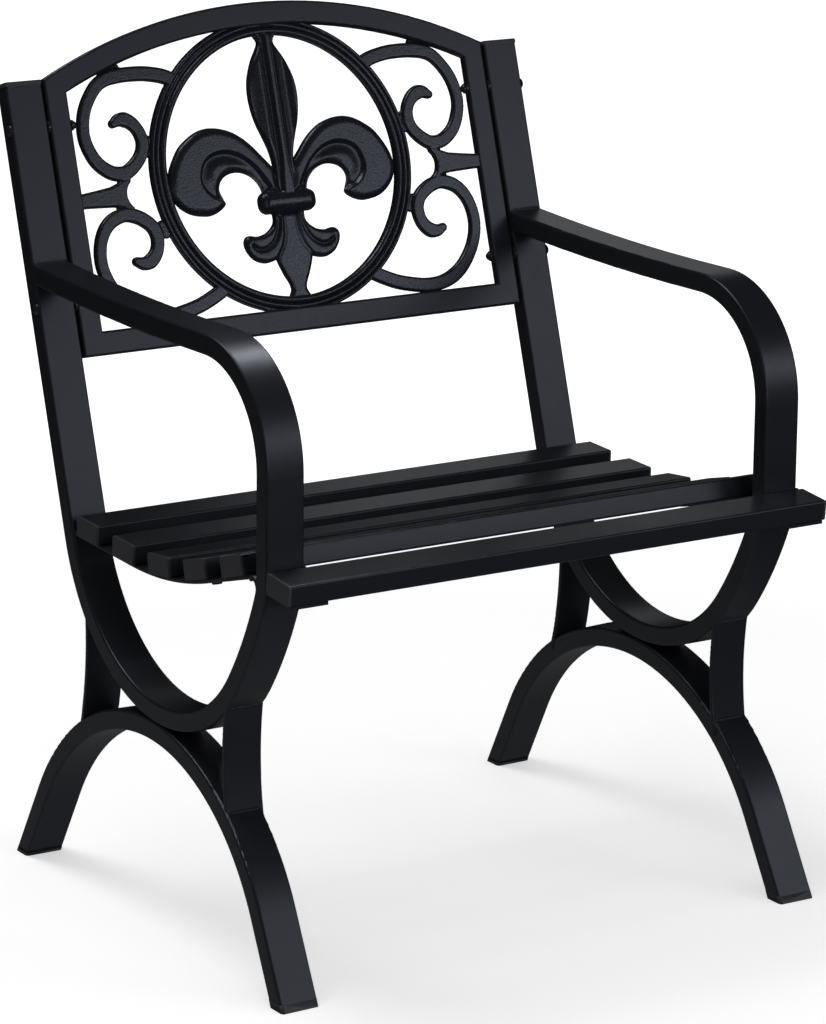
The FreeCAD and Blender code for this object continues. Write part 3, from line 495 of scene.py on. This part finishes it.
petal_hollow = [(51.9, -24.3), (53.6, -20.5), (55.7, -14.2), (54.1, -8.6), (49.7, -4.4), (43.0, -2.3),
                (36.3, -2.6), (30.2, -4.9), (25.4, -8.6), (21.8, -13.4), (19.5, -19.8)]
petal_step = [(10.9, -15.3), (17.9, -4.1), (24.6, 4.1), (33.6, 11.2), (42.5, 14.9), (51.5, 15.9),
              (60.4, 14.0), (67.9, 9.0), (72.2, 0.1), (72.8, -7.1), (70.1, -14.1), (63.9, -20.3),
              (57.7, -22.6), (52.2, -24.7)]
curl_edge = [(14.0, -35.4), (14.1, -41.8), (17.3, -46.5), (22.9, -50.2), (29.7, -51.6), (35.5, -50.6),
             (39.6, -51.4), (42.0, -55.2), (41.5, -60.2), (39.3, -64.8), (35.4, -69.2), (29.0, -72.2),
             (22.9, -72.6), (16.0, -71.0)]
drop_edge = [(16.0, -71.0), (14.4, -76.0), (11.3, -83.4), (8.6, -88.6), (7.2, -92.8), (7.6, -96.0),
             (11.5, -103.0)]
curl_groove = [(38.0, -54.5), (34.5, -59.5), (29.5, -62.3), (23.5, -61.8), (16.5, -57.0), (11.8, -49.0),
               (9.6, -39.2)]
drop_side = [(5.6, -36.0), (6.4, -50.5), (9.1, -59.6), (13.4, -66.5), (16.2, -70.5)]
petal_root = (5.0, -22.0)
curl_tip = (36.5, -56.5)


def in_ring(points):
    """Millimetres from the ring's centre."""
    return np.array(points, float) * ring_unit


def on_both_sides(*edges):
    """A closed outline from edges down its right side."""
    right = np.vstack([smooth_line(in_ring(edge)) for edge in edges])
    return np.vstack([right, right[::-1] * (-1.0, 1.0)])


spear_outline = on_both_sides(spear_edge)
petal_hollow_line = smooth_line(in_ring(petal_hollow))
petal_outline = np.vstack([smooth_line(in_ring(petal_top)), petal_hollow_line, in_ring([petal_root])])
petal_step_line = smooth_line(in_ring(petal_step))
petal_recess = np.vstack([petal_step_line, petal_hollow_line])
foot_outline = on_both_sides(curl_edge, drop_edge)
curl_groove_line = smooth_line(in_ring(curl_groove))
drop_side_line = smooth_line(in_ring(drop_side))
drop_outline = on_both_sides(drop_side, drop_edge)


# In millimetres: the motif sits a little left in the ring, and its spear a little right of the rest
lis_low = (-138.0, 30.0)
lis_high = (138.0, 308.0)
lis_cell = 0.9
lis_back = -8.0
lis_shift = -1.7
spear_shift = 2.3
collar_half_width = 33.2
collar_middle = -37.0
collar_half_height = 11.5
collar_corner = 9.5
leaf_fillet = 1.5
collar_fillet = 1.0


def on_motif(spots):
    """Places from the motif's middle, and the same folded onto its right half."""
    place = spots - ring_centre - (lis_shift, 0.0)
    return place, np.stack([abs(place[:, 0]), place[:, 1]], axis=1)


def lis_depths(spots):
    """How far inside the spear, petals, foot and collar each spot is."""
    place, folded = on_motif(spots)
    out = folded - (collar_half_width - collar_corner, 0.0)
    out[:, 1] = abs(place[:, 1] - collar_middle) - (collar_half_height - collar_corner)
    beyond = np.linalg.norm(np.maximum(out, 0.0), axis=1) + np.minimum(out.max(axis=1), 0.0)
    spear = inside(place - (spear_shift, 0.0), spear_outline)
    return spear, inside(folded, petal_outline), inside(place, foot_outline), collar_corner - beyond


def lis_depth(spots):
    """How far inside the whole motif each spot is."""
    spear, petal, foot, collar = lis_depths(spots)
    whole = joined(joined(spear, petal, leaf_fillet), foot, leaf_fillet)
    whole = joined(whole, collar, collar_fillet)
    in_ring_edge = ring_inner_radius + cast_overlap - np.linalg.norm(spots - ring_centre, axis=1)
    return np.minimum(whole, in_ring_edge)


# Relief of the motif. A roll is the radius an edge rolls over in, its wall and the height it reaches.
# A groove or a ridge is its depth or rise, its place and its width.
spear_roll = (5.0, 2.5, 8.0)
rib_half_width = 3.0
rib_rise = 2.2
rib_shoulder = 1.6
rib_groove = (1.9, 2.4, 1.8)
tongue_growth = 3.2
tongue_start = 12.0
tongue_length = 40.0
spear_side_ridge = (1.0, 13.5, 3.2)
spear_thinning = 1.8
spear_thinning_start = 16.0
spear_thinning_width = 9.0
spear_margin = 4.0
petal_roll = (9.0, 1.6, 8.0)
petal_step_depth = 4.0
petal_step_width = 4.6
petal_floor_rise = 1.6
petal_floor_start = 5.0
petal_floor_width = 12.0
foot_roll = (5.0, 2.0, 6.8)
curl_groove_shape = (2.2, 0.0, 2.0)
curl_groove_fade = 0.2
curl_tip_shape = (1.2, 0.0, 4.0)
drop_depth = 1.6
drop_width = 2.0
drop_side_groove = (1.6, 0.0, 1.6)
collar_roll = (11.0, 3.0, 12.5)
collar_end_groove = (0.5, -6.5, 1.4)
relief_fillet = 1.2
leaf_margin = 0.5
collar_margin = 0.2
least_height = 2.0


def spear_height(from_rib, up, spear):
    """A rib that widens to a tongue at the collar, with a groove and a softer ridge beside it."""
    rib = rib_half_width + tongue_growth * eased(tongue_start - up, tongue_length)
    relief = rib_rise * (1 - eased(from_rib - rib + rib_shoulder / 2, rib_shoulder))
    relief -= ridge(from_rib - rib, *rib_groove)
    relief += ridge(from_rib, *spear_side_ridge)
    relief -= spear_thinning * eased(from_rib - spear_thinning_start, spear_thinning_width)
    return rolled(spear, *spear_roll) + relief * eased(spear, spear_margin)


def petal_height(folded, petal):
    """A broad rolled lobe that steps down towards the hollow of the hook."""
    from_step, _ = to_line(folded, petal_step_line)
    drop = petal_step_depth * eased(from_step, petal_step_width)
    drop -= petal_floor_rise * eased(from_step - petal_floor_start, petal_floor_width)
    in_recess = inside(folded, petal_recess) > 0
    return rolled(petal, *petal_roll) - np.where(in_recess, drop, 0.0)


def foot_height(folded, foot):
    """Two curls with a grooved face and round tips, and a flat drop between them."""
    from_groove, along = to_line(folded, curl_groove_line)
    from_tip = np.linalg.norm(folded - in_ring([curl_tip]), axis=1)
    from_drop, _ = to_line(folded, drop_side_line)
    in_drop = inside(folded, drop_outline) > 0
    height = rolled(foot, *foot_roll)
    height -= ridge(from_groove, *curl_groove_shape) * eased(along, curl_groove_fade)
    height += ridge(from_tip, *curl_tip_shape)
    drop = np.where(in_drop, drop_depth * eased(from_drop, drop_width), 0.0)
    return height - (drop + ridge(from_drop, *drop_side_groove))


def collar_height(across, collar):
    """A round band over the joint, with a turned edge at each end."""
    return rolled(collar, *collar_roll) - ridge(across - collar_half_width, *collar_end_groove)


def lis_height(spots):
    """The motif's relief above its back."""
    place, folded = on_motif(spots)
    spear, petal, foot, collar = lis_depths(spots)
    from_rib = abs(place[:, 0] - spear_shift)
    spears = spear_height(from_rib, place[:, 1], spear)
    petals = np.where(petal > -leaf_margin, petal_height(folded, petal), 0.0)
    feet = np.where(foot > -leaf_margin, foot_height(folded, foot), 0.0)
    on_spear = joined(joined(spears, petals, relief_fillet), feet, relief_fillet)
    beside_spear = joined(petals, feet, relief_fillet)
    leaves = np.where(spear > -leaf_margin, on_spear, beside_spear)
    collars = np.where(collar > -collar_margin, collar_height(folded[:, 0], collar), 0.0)
    return np.maximum(np.maximum(leaves, least_height), collars)


cast_plate("fleur_de_lis", lis_low, lis_high, lis_cell, lis_depth, lis_height, lis_back,
           ["cast_fleur_de_lis"])

# Weld beads: a bead is a short rippled ridge along a joint, from one side of the tube to the other.
# Its valleys and crests are shares of its radius, and so is its tip, from which it swells.
bead_ripple = 2.4
bead_valley = 0.78
bead_crest = 0.22
bead_tip = 0.2
bead_swell = 9.0
bead_steps = 6
bead_sides = 10


def weld_bead(name, start, end, radius):
    """A bead in millimetres from start to end, with its ripples a set distance apart."""
    start = Vector(start)
    run = Vector(end) - start
    steps = round(run.length / bead_ripple * bead_steps)
    turn = run.to_track_quat("Z", "Y").to_matrix().to_4x4()
    bm = bmesh.new()
    bmesh.ops.create_circle(bm, segments=bead_sides, radius=1.0, matrix=Matrix.Translation(start) @ turn)
    edges = list(bm.edges)
    ring = list(bm.verts)
    middle = start
    for step in range(steps + 1):
        share = step / steps
        ripple = bead_valley + bead_crest * abs(math.sin(math.pi * share * run.length / bead_ripple))
        taper = min(1.0, bead_tip + bead_swell * min(share, 1 - share))
        spot = start + run * share
        for vert in ring:
            vert.co = spot + (vert.co - middle).normalized() * radius * ripple * taper
        middle = spot
        if step < steps:
            made = bmesh.ops.extrude_edge_only(bm, edges=edges)["geom"]
            ring = verts_in(made)
            fresh = set(ring)
            edges = [item for item in made
                     if isinstance(item, bmesh.types.BMEdge) and set(item.verts) <= fresh]
    bmesh.ops.holes_fill(bm, edges=[edge for edge in bm.edges if edge.is_boundary], sides=0)
    finished(name, bm, coat, smooth_angle=75.0, place=in_millimetres)


# Places of the side frames' joints: back, and up, with the bead's radius
weld_places = {
    "arm_top_weld": (207.4, 613.5, 2.7), "arm_under_weld": (201.8, 594.9, 2.2),
    "front_brace_top_weld": (-170.9, 261.3, 2.1), "front_brace_foot_weld": (-171.6, 159.3, 2.3),
    "rear_brace_top_weld": (103.7, 277.5, 2.1), "rear_brace_foot_weld": (115.3, 170.7, 2.3),
    "hoop_front_weld": (-49.0, 210.6, 2.2), "hoop_rear_weld": (-14.5, 212.0, 2.2),
}
weld_inner = 262.0
weld_outer = 298.2
for side, hand in sides:
    for joint, (back, up, radius) in weld_places.items():
        weld_bead(f"{hand}_{joint}", (side * weld_inner, back, up), (side * weld_outer, back, up), radius)

# Post caps: a moulded plug whose rounded rim stands a little proud of the tube
post_end = Vector((0.0, 270.3, 778.5))
post_middle = 280.0
cap_size = (41.4, 21.4, 4.4)
cap_corner = 2.6
cap_rim = 1.5


def rounded(bm, edges, radius, segments):
    """Rounds edges over."""
    bmesh.ops.bevel(bm, geom=edges, offset=radius, segments=segments, affect="EDGES", profile=0.5,
                    material=-1)


def post_plug(side, hand):
    """The head of the plug in a post's open end."""
    bm = bmesh.new()
    bmesh.ops.create_cube(bm, size=1.0, matrix=Matrix.Diagonal((*cap_size, 1.0)))
    upright = [edge for edge in bm.edges if edge.verts[0].co.z != edge.verts[1].co.z]
    rounded(bm, upright, cap_corner, segments=5)
    top = [edge for edge in bm.edges if min(vert.co.z for vert in edge.verts) > 0.0]
    rounded(bm, top, cap_rim, segments=4)
    place = (
        in_millimetres @ Matrix.Translation(post_end + Vector((side * post_middle, 0.0, 0.0)))
        @ Matrix.Rotation(-back_lean, 4, "X") @ Matrix.Translation((0.0, 0.0, cap_size[2] / 2))
    )
    finished(f"{hand}_post_plug", bm, plastic, [f"{hand}_post_cap"], place=place)


for side, hand in sides:
    post_plug(side, hand)

# Foot caps: only the thinnest edge of a sole stands out past the leg's tube
sole_share = 0.968
leg_slope = math.radians(61.0)
same_place = 1e-6


def foot_plug(name, node, forward):
    """A foot cap's own shape, narrowed square to the leg, with every height kept."""
    bm = bmesh.new()
    bm.from_mesh(bpy.data.objects[node].data)
    bmesh.ops.remove_doubles(bm, verts=bm.verts, dist=same_place)
    low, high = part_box(node)
    middle = (low + high) / 2
    level = Matrix.Rotation(forward * (math.pi / 2 - leg_slope), 4, "X") @ Matrix.Translation(-middle)
    narrowed = level.inverted() @ Matrix.Diagonal((sole_share, sole_share ** 2, 1.0, 1.0)) @ level
    for vert in bm.verts:
        vert.co.xy = (narrowed @ vert.co).xy
    finished(name, bm, plastic, [node], smooth_angle=30.0)


for side, hand in sides:
    for end, forward in (("front", -1), ("rear", 1)):
        foot_plug(f"{hand}_{end}_foot_plug", f"{hand}_{end}_foot_cap", forward)

# Floor, backdrop and light
studio_white = 1.0
fill_level = 0.24
floor_reach = 40.0
shadow_reach = (0.9, 2.2)
shadow_glow = 0.52
surround_radius = 3.9


def stage_piece(name, bm, material):
    """Something that stands round the chair and isn't part of it."""
    mesh = bpy.data.meshes.new(name)
    bm.to_mesh(mesh)
    bm.free()
    piece = bpy.data.objects.new(name, mesh)
    piece.data.materials.append(material)
    bpy.context.scene.collection.objects.link(piece)
    return piece


def seen_directly(material):
    """1 where the camera, a mirror or glass looks at the background, 0 for the light it gives."""
    rays = add_node(material, "ShaderNodeLightPath")
    seen = add_node(material, "ShaderNodeMath", operation="MAXIMUM")
    direct = add_node(material, "ShaderNodeMath", operation="MAXIMUM")
    links = material.node_tree.links
    links.new(rays.outputs["Is Camera Ray"], seen.inputs[0])
    links.new(rays.outputs["Is Glossy Ray"], seen.inputs[1])
    links.new(seen.outputs["Value"], direct.inputs[0])
    links.new(rays.outputs["Is Transmission Ray"], direct.inputs[1])
    return direct


def studio_world():
    """A white backdrop that gives the chair only a faint light from all round."""
    world = bpy.data.worlds.new("studio")
    bpy.context.scene.world = world
    world.use_nodes = True
    background = world.node_tree.nodes["Background"]
    background.inputs["Color"].default_value = linear("ffffff")
    level = add_node(world, "ShaderNodeMapRange", [("Value", seen_directly(world), "Value")],
                     **{"To Min": fill_level, "To Max": studio_white})
    world.node_tree.links.new(level.outputs["Result"], background.inputs["Strength"])


def white_sweep():
    """Matt white floor that keeps the soft shadow near the chair, and is as white as the backdrop
    further out."""
    material, sweep = new_material("matt_white_sweep", **{
        "Base Color": linear("f4f4f4"), "Roughness": 1.0, "Specular IOR Level": 0.0,
        "Emission Color": linear("ffffff"),
    })
    place = add_node(material, "ShaderNodeTexCoord")
    distance = add_node(material, "ShaderNodeVectorMath", [(0, place, "Object")], operation="LENGTH")
    glow = add_node(material, "ShaderNodeMapRange", [("Value", distance, "Value")], **{
        "interpolation_type": "SMOOTHSTEP", "From Min": shadow_reach[0], "From Max": shadow_reach[1],
        "To Min": shadow_glow, "To Max": studio_white,
    })
    seen_glow = add_node(material, "ShaderNodeMath",
                         [(0, seen_directly(material), "Value"), (1, glow, "Result")], operation="MULTIPLY")
    material.node_tree.links.new(seen_glow.outputs["Value"], sweep.inputs["Emission Strength"])
    bm = bmesh.new()
    bmesh.ops.create_grid(bm, x_segments=1, y_segments=1, size=floor_reach)
    floor = stage_piece("floor", bm, material)
    floor.visible_glossy = False


def black_surround():
    """Black cloth round the set, which only reflections show: it keeps the coat's sides dark."""
    cloth, _ = new_material("black_cloth", **{
        "Base Color": linear("000000"), "Roughness": 1.0, "Specular IOR Level": 0.0,
    })
    bm = bmesh.new()
    bmesh.ops.create_uvsphere(bm, u_segments=32, v_segments=16, radius=surround_radius)
    surround = stage_piece("surround", bm, cloth)
    surround.visible_camera = False
    surround.visible_diffuse = False
    surround.visible_transmission = False
    surround.visible_shadow = False


def softbox(name, place, aim, width, height, power, spread=180.0):
    """A rectangular soft light. A small spread is a grid on its front, which keeps the light to its aim."""
    light = bpy.data.lights.new(name, "AREA")
    light.shape = "RECTANGLE"
    light.size = width
    light.size_y = height
    light.energy = power
    light.spread = math.radians(spread)
    lamp = bpy.data.objects.new(name, light)
    lamp.location = place
    lamp.rotation_euler = (Vector(aim) - Vector(place)).to_track_quat("-Z", "Y").to_euler()
    lamp.visible_camera = False
    bpy.context.scene.collection.objects.link(lamp)


studio_world()
white_sweep()
black_surround()
chair_middle = (0.0, 0.0, 0.45)
right_arm = (0.1, 0.0, 0.5)
left_arm_bend = (-0.28, -0.25, 0.6)
above_the_floor = (-0.4, 0.4, 1.0)
softbox("front_right", (1.85, -2.55, 1.5), chair_middle, 1.6, 1.0, 11.0)
softbox("front", (0.3, -3.2, 0.95), chair_middle, 1.0, 1.2, 12.0)
softbox("overhead", (-0.7, 0.7, 3.0), chair_middle, 1.2, 1.2, 27.0)
softbox("back_right", (1.3, 1.65, 1.25), right_arm, 0.8, 0.7, 0.9)
softbox("arm_highlight", (0.49, 0.29, 1.79), left_arm_bend, 0.3, 0.3, 0.08, spread=20.0)
softbox("by_the_camera", (-1.7, -2.5, 1.0), chair_middle, 0.2, 0.5, 1.6)
softbox("under_the_chair", (-0.4, 0.4, 0.005), above_the_floor, 1.8, 1.8, 1.3)
bpy.context.scene.view_settings.view_transform = "Standard"
